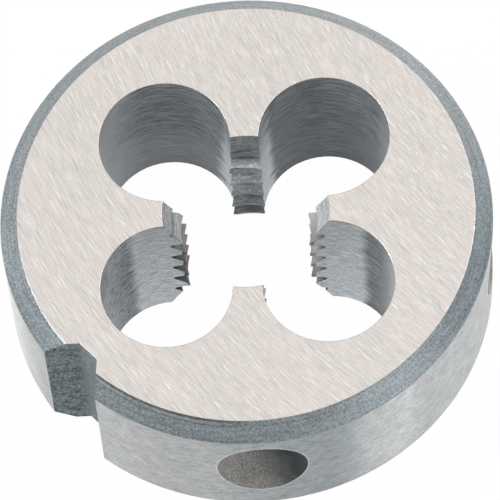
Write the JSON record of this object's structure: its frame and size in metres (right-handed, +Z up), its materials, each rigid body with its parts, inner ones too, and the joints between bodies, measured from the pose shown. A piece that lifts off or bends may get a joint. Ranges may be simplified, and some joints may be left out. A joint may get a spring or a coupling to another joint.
{
  "type": "round threading die",
  "caption": "Round steel threading die with an internal right-hand thread on lands between chip holes, a notched rim and conical screw seats.",
  "frame": {"origin": "centre of the lower face, on the thread axis", "axes": "+Z up along the thread axis; the cutting lands point along X and Y; the rim notch is at azimuth 223 degrees, between -X and -Y"},
  "size_m": [0.025, 0.025, 0.009],
  "materials": {
    "steel": "ground faces, turned rim, satin"
  },
  "bodies": {
    "root": {"threading_die": "steel"}
  },
  "joints": []
}
